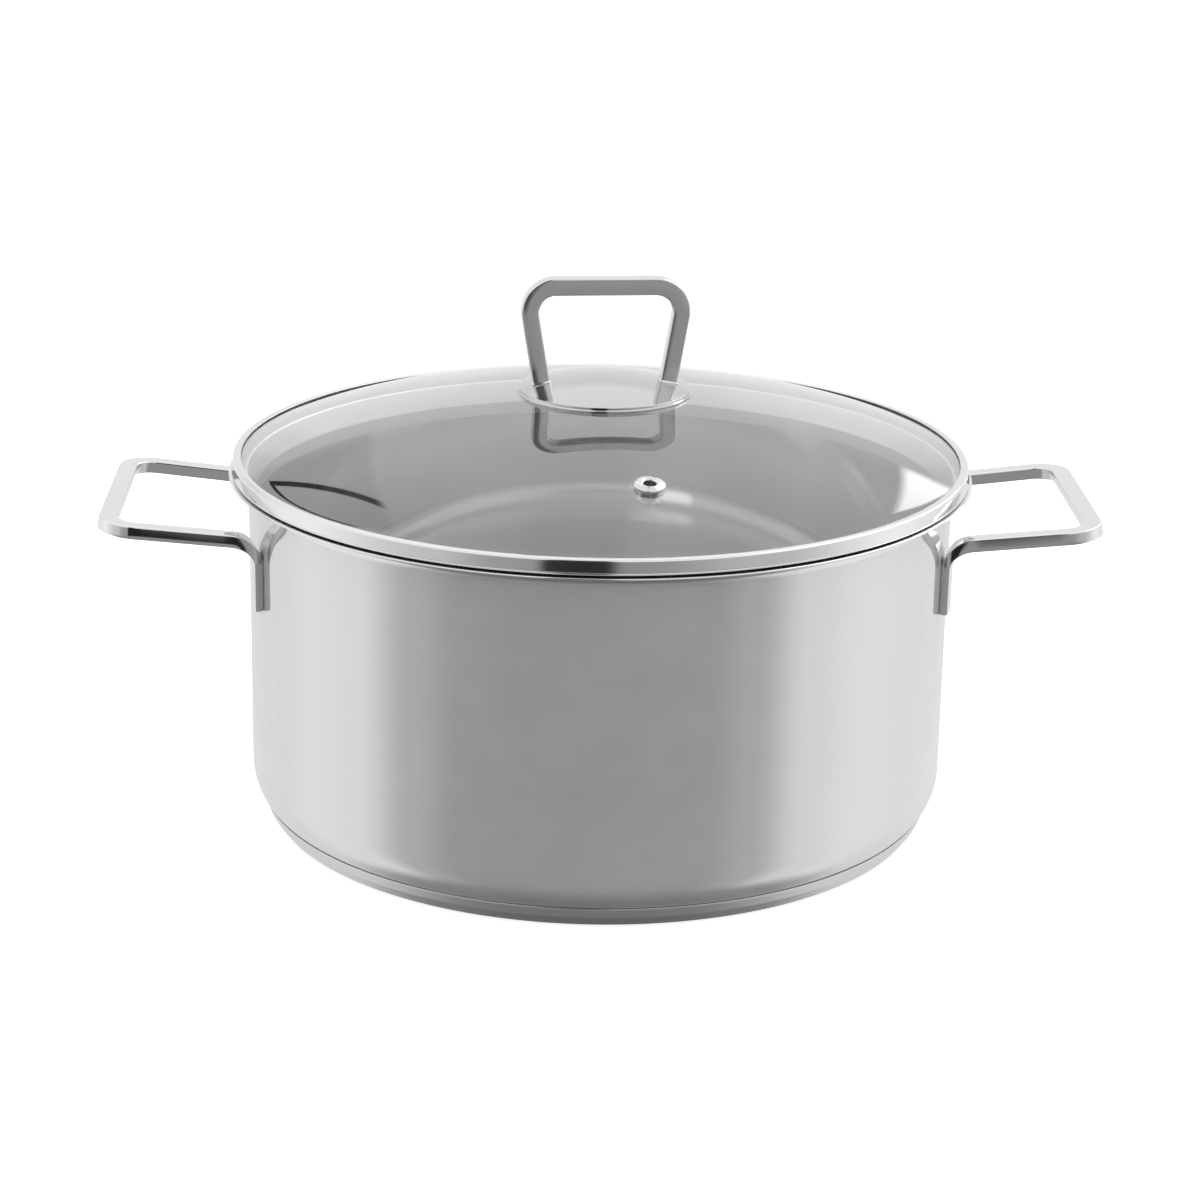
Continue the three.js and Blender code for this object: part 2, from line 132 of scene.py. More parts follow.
# vent
VENT_R = 84.0
VENT_AZ = -81.4
VENT_FLANGE_R = 5.15
VENT_BORE_R = 2.05
VENT_TUBE_R = 2.8
VENT_HOLE_R = 3.3
PETALS = 8


# ---- outlines -------------------------------------------------------------

def arc(cr, cz, r, start, end, steps):
    """Points of an arc in (radius, height); angles in degrees."""
    angles = [math.radians(start + (end - start) * i / steps) for i in range(steps + 1)]
    return [(cr + r * math.cos(a), cz + r * math.sin(a)) for a in angles]


def rounded(corners, steps=5):
    """An open outline through (x, y, radius) corners, each turned with its own radius."""
    out = []
    last = len(corners) - 1
    for i, (x, y, r) in enumerate(corners):
        p = Vector((x, y))
        if i in (0, last) or r <= 0:
            out.append((x, y))
            continue
        a = Vector(corners[i - 1][:2]) - p
        b = Vector(corners[i + 1][:2]) - p
        reach = r / math.tan(max(a.angle(b), 0.05) / 2)
        reach = min(reach, a.length * 0.49, b.length * 0.49)
        p0 = p + a.normalized() * reach
        p1 = p + b.normalized() * reach
        out.append(tuple(p + a.normalized() * min(reach * 1.3, a.length * 0.5)))
        for k in range(steps + 1):
            t = k / steps
            out.append(tuple(p0 * (1 - t) ** 2 + p * 2 * t * (1 - t) + p1 * t * t))
        out.append(tuple(p + b.normalized() * min(reach * 1.3, b.length * 0.5)))
    return thinned(out)


def thinned(points):
    out = [points[0]]
    for p in points[1:]:
        if (Vector(p) - Vector(out[-1])).length > NEAR:
            out.append(p)
    return out


# ---- meshes ---------------------------------------------------------------

def finished(name, verts, faces, slots=None, sharp=38):
    """A smooth object from vertices in mm; slots holds each face's material slot."""
    mesh = bpy.data.meshes.new(name)
    mesh.from_pydata([(x * MM, y * MM, z * MM) for x, y, z in verts], [], faces)
    mesh.validate()
    if slots:
        for poly, slot in zip(mesh.polygons, slots):
            poly.material_index = slot
    for poly in mesh.polygons:
        poly.use_smooth = True
    mesh.set_sharp_from_angle(angle=math.radians(sharp))
    obj = bpy.data.objects.new(name, mesh)
    bpy.context.scene.collection.objects.link(obj)
    return obj


def turned(name, runs, segments=ROUND, swell=None, sharp=38):
    """Turns a closed outline about Z. runs is [(points, slot)], joined end to start.

    swell(radius, height, angle) may shift a point outward, for petals.
    """
    outline = []
    kinds = []
    for points, slot in runs:
        for p in points:
            if outline and (Vector(p) - Vector(outline[-1])).length < NEAR:
                kinds[-1] = slot
                continue
            outline.append(p)
            kinds.append(slot)
    if (Vector(outline[0]) - Vector(outline[-1])).length < NEAR:
        outline.pop()
        kinds.pop()
    verts = []
    rows = []
    for r, z in outline:
        if r < 1e-6:
            rows.append([len(verts)] * segments)
            verts.append((0.0, 0.0, z))
            continue
        row = []
        for k in range(segments):
            a = 2 * math.pi * k / segments
            rr = swell(r, z, a) if swell else r
            row.append(len(verts))
            verts.append((rr * math.cos(a), rr * math.sin(a), z))
        rows.append(row)
    area = sum(p[0] * q[1] - q[0] * p[1] for p, q in zip(outline, outline[1:] + outline[:1]))
    faces = []
    slots = []
    n = len(rows)
    for i in range(n):
        a, b = rows[i], rows[(i + 1) % n]
        if a[0] == a[1] and b[0] == b[1]:
            continue
        for k in range(segments):
            j = (k + 1) % segments
            ring = [a[k], a[j], b[j], b[k]]
            ring = [v for m, v in enumerate(ring) if v not in ring[:m]]
            if area < 0:
                ring.reverse()
            faces.append(ring)
            slots.append(kinds[i])
    return finished(name, verts, faces, slots, sharp)


def bar_section(width, thick, radius, steps=4):
    """An oblong with round corners, as (along width, along thickness), anticlockwise."""
    out = []
    for sx, sy, start in ((1, 1, 0), (-1, 1, 90), (-1, -1, 180), (1, -1, 270)):
        cx = sx * (width / 2 - radius)
        cy = sy * (thick / 2 - radius)
        for k in range(steps + 1):
            a = math.radians(start + 90 * k / steps)
            out.append((cx + radius * math.cos(a), cy + radius * math.sin(a)))
    return out


def lofted(name, stations, lean=0.0, sharp=50):
    """A closed bar over stations (centre, across, through, width, thickness, corner radius).

    lean shifts each side of the section along its width, for each mm through its thickness.
    """
    verts = []
    for centre, across, through, width, thick, radius in stations:
        for u, v in bar_section(width, thick, radius):
            verts.append(tuple(centre + across * (u + v * lean) + through * v))
    n = len(bar_section(1, 1, 0.1))
    faces = []
    for i in range(len(stations) - 1):
        for k in range(n):
            a = i * n + k
            b = i * n + (k + 1) % n
            faces.append([a, b, b + n, a + n])
    last = (len(stations) - 1) * n
    faces.append(list(range(n - 1, -1, -1)))
    faces.append(list(range(last, last + n)))
    if signed_volume(verts, faces) < 0:
        faces = [f[::-1] for f in faces]
    return finished(name, verts, faces, None, sharp)


def mirrored(stations, flip):
    """The stations in reverse order, turned over along the axes where flip is -1."""
    flip = Vector(flip)
    far = []
    for centre, across, through, *size in reversed(stations):
        far.append((centre * flip, across * flip, through * flip, *size))
    return far


def swung(stations, turn):
    """The stations turned by a rotation matrix."""
    return [(turn @ c, turn @ across, turn @ through, *size) for c, across, through, *size in stations]


def signed_volume(verts, faces):
    """Six times the volume; above zero where the faces look outward."""
    total = 0.0
    for f in faces:
        a = Vector(verts[f[0]])
        for i in range(1, len(f) - 1):
            total += a.dot(Vector(verts[f[i]]).cross(Vector(verts[f[i + 1]])))
    return total


def cut(obj, tool):
    """Cuts tool out of obj and removes tool."""
    mod = obj.modifiers.new("cut", "BOOLEAN")
    mod.operation = "DIFFERENCE"
    mod.solver = "EXACT"
    mod.object = tool
    dg = bpy.context.evaluated_depsgraph_get()
    mesh = bpy.data.meshes.new_from_object(obj.evaluated_get(dg))
    obj.modifiers.clear()
    obj.data = mesh
    bpy.data.objects.remove(tool)
    return obj


def baked(piece, matrix):
    """Moves a piece's mesh, so that the object itself stays at the origin."""
    piece.data.transform(matrix)
    return piece


def settle(piece, body, node, slot, *materials):
    """Dresses a piece, lets it stand for its CAD node and ride on its body.

    Clearing the materials also clears each face's slot, so the slots are put back.
    """
    kinds = [poly.material_index for poly in piece.data.polygons]
    piece.data.materials.clear()
    for m in materials:
        piece.data.materials.append(m)
    for poly, kind in zip(piece.data.polygons, kinds):
        poly.material_index = kind
    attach(piece, body)
    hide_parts(node)
    return piece


# ---- materials ------------------------------------------------------------

ALONG_GRAIN = 8  # scale of the noise along the grain, where it runs straight
GLASS_INDEX = 1.65
GLASS_TINT = (0.945, 0.948, 0.952)
BUMP_HEIGHT = 0.0002


def node_tree(name):
    """A new material and its empty node tree."""
    mat = bpy.data.materials.new(name)
    mat.use_nodes = True
    nt = mat.node_tree
    nt.nodes.clear()
    return mat, nt


def add(nt, kind, links=None, **values):
    """Makes a node; values set attributes, or inputs by name where they start with in_."""
    node = nt.nodes.new(kind)
    for key, value in values.items():
        if key.startswith("in_"):
            node.inputs[key[3:].replace("_", " ")].default_value = value
        else:
            setattr(node, key, value)
    for target, source in (links or {}).items():
        nt.links.new(source, node.inputs[target])
    return node


def maths(nt, operation, *terms):
    """A Math node's result; each term is a number or another node's socket."""
    node = add(nt, "ShaderNodeMath", operation=operation)
    for socket, term in zip(node.inputs, terms):
        if isinstance(term, bpy.types.NodeSocket):
            nt.links.new(term, socket)
        else:
            socket.default_value = term
    return node.outputs[0]


def ranged(nt, source, low, high, **limits):
    """source's run from limits' from_min to from_max, 0 to 1 if not given, taken to low to high."""
    node = add(nt, "ShaderNodeMapRange", {"Value": source})
    for name, value in limits.items():
        node.inputs[name.replace("_", " ").title()].default_value = value
    node.inputs["To Min"].default_value = low
    node.inputs["To Max"].default_value = high
    return node.outputs[0]


def two_tones(nt, source, start, end, dark, light):
    """Blends from dark to light while source goes from start to end."""
    node = add(nt, "ShaderNodeValToRGB", {"Fac": source})
    for element, place, tone in zip(node.color_ramp.elements, (start, end), (dark, light)):
        element.position = place
        element.color = (*tone, 1)
    return node.outputs[0]


def grain_field(nt, style, scale):
    """Fine lines left by the last pass of the belt: "turned" round the axis, or else along X."""
    where = add(nt, "ShaderNodeTexCoord").outputs["Object"]
    if style == "turned":
        parts = add(nt, "ShaderNodeSeparateXYZ", {"Vector": where})
        flat = add(nt, "ShaderNodeCombineXYZ", {"X": parts.outputs["X"], "Y": parts.outputs["Y"]})
        unit = add(nt, "ShaderNodeVectorMath", {0: flat.outputs[0]}, operation="NORMALIZE")
        reach = add(nt, "ShaderNodeVectorMath", {0: flat.outputs[0]}, operation="LENGTH")
        lift = maths(nt, "ADD", parts.outputs["Z"], reach.outputs["Value"])
        up = add(nt, "ShaderNodeCombineXYZ", {"Z": maths(nt, "MULTIPLY", lift, scale)})
        field = add(nt, "ShaderNodeVectorMath", {0: unit.outputs[0], 1: up.outputs[0]}, operation="ADD")
        vector = field.outputs[0]
    else:
        stretch = (ALONG_GRAIN, scale, scale)
        vector = add(nt, "ShaderNodeMapping", {"Vector": where}, in_Scale=stretch).outputs[0]
    return vector


def steel(name, color, sharp, haze, share, grain, scale, depth, mottle=0.0):
    """Stainless steel seen as a clear reflection with a broad haze over it.

    sharp and haze are the two roughnesses, share is how much of the surface is haze, and mottle is
    how much that differs from place to place. grain, scale and depth describe the fine lines.
    """
    mat, nt = node_tree(name)
    vector = grain_field(nt, grain, scale)
    lines = add(nt, "ShaderNodeTexNoise", {"Vector": vector}, in_Scale=1.0, in_Detail=3.0, in_Roughness=0.6)
    where = add(nt, "ShaderNodeTexCoord").outputs["Object"]
    cloud = add(nt, "ShaderNodeTexNoise", {"Vector": where}, in_Scale=26.0, in_Detail=2.5, in_Roughness=0.55)
    specks = add(nt, "ShaderNodeTexNoise", {"Vector": where}, in_Scale=900.0, in_Detail=2.0)
    level = ranged(nt, cloud.outputs[0], share - mottle, share + mottle, from_min=0.3, from_max=0.7)
    rub = ranged(nt, lines.outputs[0], -depth, depth, from_min=0.25, from_max=0.75)
    mixed_by = add(nt, "ShaderNodeMath", {0: level, 1: rub}, operation="ADD", use_clamp=True)
    tone = two_tones(nt, cloud.outputs[0], 0.3, 0.7, [c * 0.965 for c in color], color)
    relief = add(nt, "ShaderNodeMix", {"A": lines.outputs[0], "B": specks.outputs[0]}, in_Factor=0.25)
    height = {"Height": relief.outputs[0]}
    bump = add(nt, "ShaderNodeBump", height, in_Strength=depth, in_Distance=BUMP_HEIGHT)
    common = {"Base Color": tone, "Normal": bump.outputs[0]}
    rough = ranged(nt, lines.outputs[0], sharp * 0.7, sharp * 1.3)
    clear = add(nt, "ShaderNodeBsdfPrincipled", {**common, "Roughness": rough}, in_Metallic=1.0)
    soft = add(nt, "ShaderNodeBsdfPrincipled", common, in_Metallic=1.0, in_Roughness=haze)
    layers = {0: mixed_by.outputs[0], 1: clear.outputs[0], 2: soft.outputs[0]}
    surface = add(nt, "ShaderNodeMixShader", layers)
    add(nt, "ShaderNodeOutputMaterial", {"Surface": surface.outputs[0]})
    return mat


def clear_glass(name):
    """Clear toughened glass. The face met first mirrors for both faces, the rest passes straight."""
    mat, nt = node_tree(name)
    back = add(nt, "ShaderNodeNewGeometry").outputs["Backfacing"]
    where = add(nt, "ShaderNodeTexCoord").outputs["Object"]
    waves = add(nt, "ShaderNodeTexNoise", {"Vector": where}, in_Scale=18.0, in_Detail=1.0)
    bump = add(nt, "ShaderNodeBump", {"Height": waves.outputs[0]}, in_Strength=0.012, in_Distance=0.002)
    one = add(nt, "ShaderNodeFresnel", {"Normal": bump.outputs[0]}, in_IOR=GLASS_INDEX).outputs[0]
    both = maths(nt, "DIVIDE", maths(nt, "MULTIPLY", one, 2.0), maths(nt, "ADD", one, 1.0))
    share = maths(nt, "MULTIPLY", both, maths(nt, "SUBTRACT", 1.0, back))
    through = add(nt, "ShaderNodeBsdfTransparent", in_Color=(*GLASS_TINT, 1))
    mirror = add(
        nt, "ShaderNodeBsdfAnisotropic", {"Normal": bump.outputs[0]},
        in_Color=(1.0, 1.0, 1.0, 1), in_Roughness=0.0,
    )
    surface = add(nt, "ShaderNodeMixShader", {0: share, 1: through.outputs[0], 2: mirror.outputs[0]})
    add(nt, "ShaderNodeOutputMaterial", {"Surface": surface.outputs[0]})
    return mat


def silicone(name, color):
    """Matt rubber with a fine bloom."""
    mat, nt = node_tree(name)
    where = add(nt, "ShaderNodeTexCoord").outputs["Object"]
    dust = add(nt, "ShaderNodeTexNoise", {"Vector": where}, in_Scale=700.0, in_Detail=3.0)
    tone = two_tones(nt, dust.outputs[0], 0.35, 0.65, [c * 0.9 for c in color], color)
    bump = add(nt, "ShaderNodeBump", {"Height": dust.outputs[0]}, in_Strength=0.1, in_Distance=BUMP_HEIGHT)
    body = add(
        nt, "ShaderNodeBsdfPrincipled", {"Base Color": tone, "Normal": bump.outputs[0]}, in_Roughness=0.5,
    )
    add(nt, "ShaderNodeOutputMaterial", {"Surface": body.outputs[0]})
    return mat


STEEL = (0.74, 0.75, 0.752)
WALL = steel("polished_wall", (0.8, 0.805, 0.816), 0.05, 0.75, 0.38, "turned", 2600.0, 0.001, mottle=0.06)
# the inside and its floor are darker copies of the wall's steel: painted shade inside the pot under the lid
INSIDE_PAINTED_SHADE = steel("polished_inside_painted_shade", (0.6, 0.605, 0.605), 0.05, 0.4, 0.2, "turned", 2200.0, 0.003, mottle=0.05)
BOTTOM_PAINTED_SHADE = steel("turned_bottom_painted_shade", (0.64, 0.645, 0.65), 0.12, 0.5, 0.4, "turned", 2200.0, 0.0008, mottle=0.04)
BAR = steel("polished_bar", STEEL, 0.04, 0.4, 0.06, "x", 900.0, 0.006, mottle=0.03)
RIM = steel("polished_rim", STEEL, 0.07, 0.35, 0.14, "turned", 2600.0, 0.006)
SKIRT = steel("polished_skirt", (0.83, 0.835, 0.845), 0.12, 0.5, 0.65, "turned", 2600.0, 0.006)
GRIP = steel("satin_grip", (0.72, 0.73, 0.73), 0.1, 0.5, 0.2, "x", 1500.0, 0.02)
PLATE = steel("polished_plate", (0.54, 0.545, 0.55), 0.03, 0.35, 0.06, "turned", 2600.0, 0.01)
CAP = steel("satin_cap", (0.66, 0.665, 0.67), 0.16, 0.45, 0.5, "turned", 3200.0, 0.02)
# plain steel of the hidden fixings; on the vent's crimp its darker tone is painted shade under the flange
PLAIN_AND_CRIMP_SHADE = steel("plain_steel", (0.5, 0.51, 0.51), 0.25, 0.5, 0.5, "turned", 1800.0, 0.05)
DISC = steel("rolled_aluminium", (0.77, 0.78, 0.79), 0.35, 0.6, 0.6, "x", 1200.0, 0.08)
GLASS = clear_glass("clear_glass")
RUBBER = silicone("grey_silicone", (0.42, 0.43, 0.43))


# ---- pot ------------------------------------------------------------------

def corner_turn():
    """Centre of the wall's lower turn, centre of its tight part, and the floor's underside."""
    cr = WALL_R - CORNER_R
    a = math.radians(CORNER_DEG)
    r = cr + (CORNER_R - CORNER_TIGHT_R) * math.cos(a)
    z = CORNER_Z - (CORNER_R - CORNER_TIGHT_R) * math.sin(a)
    return cr, r, z, z - CORNER_TIGHT_R


def pot_shell():
    cr, tight_r, tight_z, floor = corner_turn()
    flare_r = WALL_R + FLARE_R
    flare_z = LIP_TOP - SHEET - FLARE_R
    edge = SHEET / 2
    outside = [(0, floor), (60, floor), (100, floor)]
    outside += arc(tight_r, tight_z, CORNER_TIGHT_R, -90, -CORNER_DEG, 8)
    outside += arc(cr, CORNER_Z, CORNER_R, -CORNER_DEG, 0, 16)[1:]
    outside += [(WALL_R, CORNER_Z + 2), (WALL_R, 50), (WALL_R, 90), (WALL_R, flare_z - 2)]
    flare = arc(flare_r, flare_z, FLARE_R, 180, 90, 16)
    flare += arc(LIP_R - edge, LIP_TOP - edge, edge, -90, 90, 8)
    flare += arc(flare_r, flare_z, FLARE_R + SHEET, 90, 180, 16)
    inside = [(WALL_R - SHEET, flare_z - 2), (WALL_R - SHEET, 90), (WALL_R - SHEET, 50)]
    inside += arc(cr, CORNER_Z, CORNER_R - SHEET, 0, -CORNER_DEG, 16)
    inside += arc(tight_r, tight_z, CORNER_TIGHT_R - SHEET, -CORNER_DEG, -90, 8)[1:]
    bottom = [(100, floor + SHEET), (60, floor + SHEET), (0, floor + SHEET)]
    # the inside and the floor wear the darker steel, as painted shade under the lid
    piece = turned("pot_wall", [(outside, 0), (flare, 3), (inside, 1), (bottom, 2)])
    return settle(piece, "pot", "pot_shell", "polished_steel", WALL, INSIDE_PAINTED_SHADE, BOTTOM_PAINTED_SHADE, RIM)


def base_cap():
    side = rounded([
        (0, 0, 0), (CAP_FLAT_R, 0, 0.5), (CAP_FLAT_R + 2.4, 3.2, 4.0), (CAP_R, CAP_TOP - 0.45, 1.0),
        (CAP_R - 0.05, CAP_TOP - 0.02, 0.16), (CAP_R - 0.32, CAP_TOP, 0.16),
        (CAP_R - 0.65, CAP_TOP - 0.9, 0.3), (CAP_R - 1.6, 4.4, 2.0), (CAP_FLAT_R + 1.3, 2.2, 3.0),
        (CAP_FLAT_R - 0.6, CAP_SHEET, 0.6), (0, CAP_SHEET, 0),
    ], 6)
    piece = turned("base_capsule", [(side, 0)])
    return settle(piece, "pot", "base_cap", "satin_steel", CAP)


def heat_disc():
    """Hidden in the capsule, so the CAD node itself stays and only gets its material."""
    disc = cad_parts["base_heat_disc"]
    disc.data.materials.clear()
    disc.data.materials.append(DISC)


def handle_line(x):
    """Height of the middle of a side handle's bar at distance x from the axis."""
    rise = math.radians(HANDLE_RISE)
    return HANDLE_TOP - BAR_T / 2 / math.cos(rise) + (x - WALL_R) * math.tan(rise)


def arm_y(x):
    """Middle of an arm, away from the X axis, at distance x."""
    return ARM_Y + ARM_SPREAD * (x - ARM_FROM)


def handle_half():
    """Stations from the foot of one leg to the middle of the grip, on the +X, +Y quarter."""
    out = []
    leg_az = math.radians(LEG_AZ)
    rise = math.radians(HANDLE_RISE)

    def station(centre, along, turn, width, thick, radius):
        t = Vector(along).normalized()
        w = Vector((-math.sin(turn), math.cos(turn), 0))
        w = (w - t * w.dot(t)).normalized()
        out.append((Vector(centre), w, w.cross(t), width, thick, radius))

    leg_r = WALL_R + LEG_T / 2 - 0.05
    leg_x = leg_r * math.cos(leg_az)
    leg_y = leg_r * math.sin(leg_az)
    bend_x = leg_x + BEND_R
    bend_z = handle_line(bend_x) - BEND_R / math.cos(rise)
    for z, shrink in ((0, 0.5), (0.12, 0.22), (0.35, 0.06), (0.7, 0), (2, 0), (8, 0)):
        at = (leg_x, leg_y, LEG_BOTTOM + z)
        station(at, (0, 0, 1), leg_az, LEG_W - shrink, LEG_T - shrink, 0.5)
    steps = 26
    for i in range(steps, -1, -1):
        f = i / steps
        a = math.radians(90 + HANDLE_RISE + (90 - HANDLE_RISE) * f)
        ease = f * f * (3 - 2 * f)
        thick = BAR_T + (LEG_T - BAR_T) * ease
        x = bend_x + BEND_R * math.cos(a)
        y = leg_y + (arm_y(bend_x) - leg_y) * (1 - ease)
        z = bend_z + BEND_R * math.sin(a)
        width = BAR_W + (LEG_W - BAR_W) * ease
        station((x, y, z), (math.sin(a), 0, -math.cos(a)), leg_az * ease, width, thick, BAR_EDGE)
    end_x = HANDLE_REACH - BAR_W / 2
    cx = end_x - LOOP_CORNER_R
    spread = math.atan(ARM_SPREAD)
    cy = arm_y(cx) - LOOP_CORNER_R / math.cos(spread)
    outward = (1, ARM_SPREAD, math.tan(rise))
    for x in (127, 135, 145, 153):
        station((x, arm_y(x), handle_line(x)), outward, spread, BAR_W, BAR_T, BAR_EDGE)
    steps = 22
    for i in range(steps + 1):
        a = (math.pi / 2 + spread) * (1 - i / steps)
        x = cx + LOOP_CORNER_R * math.cos(a)
        y = cy + LOOP_CORNER_R * math.sin(a)
        t = Vector((math.sin(a), -math.cos(a), math.sin(a) * math.tan(rise))).normalized()
        w = Vector((math.cos(a), math.sin(a), math.cos(a) * math.tan(rise))).normalized()
        out.append((Vector((x, y, handle_line(x))), w, w.cross(t), BAR_W, BAR_T, BAR_EDGE))
    for y in (cy * 0.7, cy * 0.35):
        last = out[-1]
        out.append((Vector((end_x, y, handle_line(end_x))), *last[1:]))
    return out


def side_handle(name, node, side):
    half = handle_half()
    stations = half + mirrored(half, (1, -1, 1))
    if side < 0:
        stations = swung(stations, Matrix.Rotation(math.pi, 3, "Z"))
    piece = lofted(name, stations, BAR_LEAN)
    return settle(piece, "pot", node, "polished_steel", BAR)


# ---- lid ------------------------------------------------------------------

def dome_z(r, drop=0.0):
    """Height of the glass: a sphere, a little fuller round the handle's plate."""
    big = DOME_R - drop
    rise = min(1.0, max(0.0, (r - FULL_START) / (FULL_R - FULL_START)))
    fall = min(1.0, max(0.0, (r - FULL_R) / (FULL_END - FULL_R)))
    full = rise * rise * (3 - 2 * rise) * (1 - fall * fall * (3 - 2 * fall))
    return GLASS_TOP - DOME_R + math.sqrt(big * big - r * r) + FULL * full


def plate_z(r):
    """Height of the handle plate's top."""
    return PLATE_TOP - r * r / PLATE_CURVE


def lid_glass():
    steps = 60
    radii = [HUB_HOLE_R + (GLASS_BEND_R - HUB_HOLE_R) * i / steps for i in range(steps + 1)]
    top = [(r, dome_z(r)) for r in radii]
    low = [(r, dome_z(r, GLASS_T)) for r in reversed(radii)]
    rim = rounded([
        (GLASS_BEND_R, dome_z(GLASS_BEND_R), 0), (GLASS_R - 1.2, GLASS_RIM_TOP + 0.1, 3.0),
        (GLASS_R, GLASS_RIM_TOP - 0.2, 1.0), (GLASS_R, GLASS_RIM_LOW + 0.2, 1.0),
        (GLASS_R - 1.2, GLASS_RIM_LOW, 3.0), (GLASS_BEND_R, dome_z(GLASS_BEND_R, GLASS_T), 0),
    ])
    piece = turned("lid_dome", [(top + rim[1:-1] + low, 0)])
    drill = turned("drill", [([(0, -9), (VENT_HOLE_R, -9), (VENT_HOLE_R, 9), (0, 9)], 0)], FINE)
    drill.matrix_world = vent_place()
    bpy.context.view_layer.update()
    cut(piece, drill)
    return settle(piece, "lid", "lid_glass", "clear_glass", GLASS)


def lid_rim_band():
    """One sheet: over the glass, down its outside, in under it, then a cone and the skirt."""
    s = BAND_SHEET
    top_r = BAND_R - BAND_LEAN
    crown = (top_r - BAND_IN_TOP) * 0.35
    outer = rounded([
        (BAND_IN_TOP, BAND_TOP - s, 0), (BAND_IN_TOP, BAND_TOP - s / 2, 0.1),
        (BAND_IN_TOP + crown, BAND_TOP, 2.0),
        (top_r - 0.25, BAND_TOP - 0.3, 1.0), (top_r, BAND_TOP - 1.2, 0.6), (BAND_R, BAND_LOW + 1.15, 0.15),
        (BAND_R - 0.2, BAND_LOW + 0.95, 0.1), (BAND_R - 0.03, BAND_LOW + 0.75, 0.2),
        (BAND_R - 0.25, BAND_LOW + 0.3, 0.25), (BAND_R - 1.2, BAND_LOW, 0.5), (CONE_TOP_R, BAND_LOW, 0),
    ], 6)
    inner = rounded([
        (CONE_TOP_R, BAND_LOW, 0), (SKIRT_R, SKIRT_TOP, 1.2), (SKIRT_R, SKIRT_LOW, 0.15),
        (SKIRT_R - s, SKIRT_LOW, 0.15), (SKIRT_R - s, SKIRT_TOP, 1.4), (CONE_TOP_R - s, BAND_LOW + s, 0.9),
        (BAND_R - s - 0.2, BAND_LOW + s, 0.3), (BAND_R - s - BAND_LEAN, BAND_TOP - s - 0.3, 0.3),
        (BAND_IN_TOP, BAND_TOP - s, 0),
    ], 6)
    piece = turned("lid_band", [(outer, 0), (inner, 1)])
    return settle(piece, "lid", "lid_rim_band", "polished_steel", RIM, SKIRT)


def lid_rim_seal():
    low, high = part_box("lid_rim_seal")
    inner = GLASS_R + 0.2
    outer = high.x / MM
    outline = rounded([
        (inner, low.z / MM + 1, 0), (inner, low.z / MM, 0.3), (outer, low.z / MM, 0.8),
        (outer, high.z / MM, 0.8), (inner, high.z / MM, 0.3), (inner, low.z / MM + 1, 0),
    ])
    piece = turned("rim_filler", [(outline, 0)])
    return settle(piece, "lid_carrier", "lid_rim_seal", "silicone", RUBBER)


def lid_handle():
    foot_z = plate_z(GRIP_FOOT_X)
    lean = math.atan2(GRIP_HALF - GRIP_FOOT_X, GRIP_WIDE_Z - foot_z)
    cz = GRIP_TOP - GRIP_FACE / 2 - GRIP_CORNER_R

    def leg_x(z):
        return GRIP_FOOT_X + (z - foot_z) * math.tan(lean)

    cx = leg_x(cz) - GRIP_CORNER_R / math.cos(lean)
    half = []

    def station(x, z, a, grow=0.0):
        out = Vector((math.cos(a), 0, math.sin(a)))
        half.append((Vector((x, 0, z)), out, Vector((0, 1, 0)), GRIP_FACE + grow, GRIP_DEPTH + grow, 0.7))

    for up, grow in ((-0.4, 0.5), (0.25, 0.45), (0.4, 0.1), (0.7, 0), (8, 0), (16, 0)):
        station(leg_x(foot_z + up), foot_z + up, -lean, grow)
    steps = 24
    for i in range(steps + 1):
        a = -lean + (math.pi / 2 + lean) * i / steps
        station(cx + GRIP_CORNER_R * math.cos(a), cz + GRIP_CORNER_R * math.sin(a), a)
    station(cx * 0.5, GRIP_TOP - GRIP_FACE / 2, math.pi / 2)
    turn = Matrix.Rotation(math.radians(GRIP_TURN), 3, "Z")
    piece = lofted("lid_bail", swung(half + mirrored(half, (-1, 1, 1)), turn))
    baked(piece, GRIP_ASIDE)
    return settle(piece, "lid", "lid_handle", "satin_steel", GRIP)


def lid_handle_plate():
    steps = 36
    radii = [(PLATE_R - 0.7) * i / steps for i in range(steps + 1)]
    top = [(r, plate_z(r)) for r in radii]
    low = [(r, plate_z(r) - PLATE_T) for r in reversed(radii)]
    edge = plate_z(PLATE_R - 0.5)
    rim = rounded([
        (PLATE_R - 0.7, plate_z(PLATE_R - 0.7), 0), (PLATE_R - 0.4, edge, 0.25),
        (PLATE_R - 0.36, edge - 0.75, 0.25),
        (PLATE_R, edge - 1.2, 0.12), (PLATE_R, edge - 1.7, 0.1), (PLATE_R - 0.5, edge - 1.7, 0.1),
        (PLATE_R - 0.7, plate_z(PLATE_R - 0.7) - PLATE_T, 0),
    ])
    piece = turned("bail_plate", [(top + rim[1:-1] + low, 0)])
    baked(piece, GRIP_ASIDE)
    return settle(piece, "lid", "lid_handle_plate", "polished_steel", PLATE)


def boxed(node, name, slot, material, inner):
    """A turned ring that fills a CAD ring's own box, with eased edges."""
    low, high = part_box(node)
    z0, z1, outer = low.z / MM, high.z / MM, high.x / MM
    ease = 0.2
    outline = rounded([
        (inner, (z0 + z1) / 2, 0), (inner, z0, ease), (outer, z0, ease), (outer, z1, ease),
        (inner, z1, ease), (inner, (z0 + z1) / 2, 0),
    ])
    piece = turned(name, [(outline, 0)], 96)
    return settle(piece, "lid", node, slot, material)


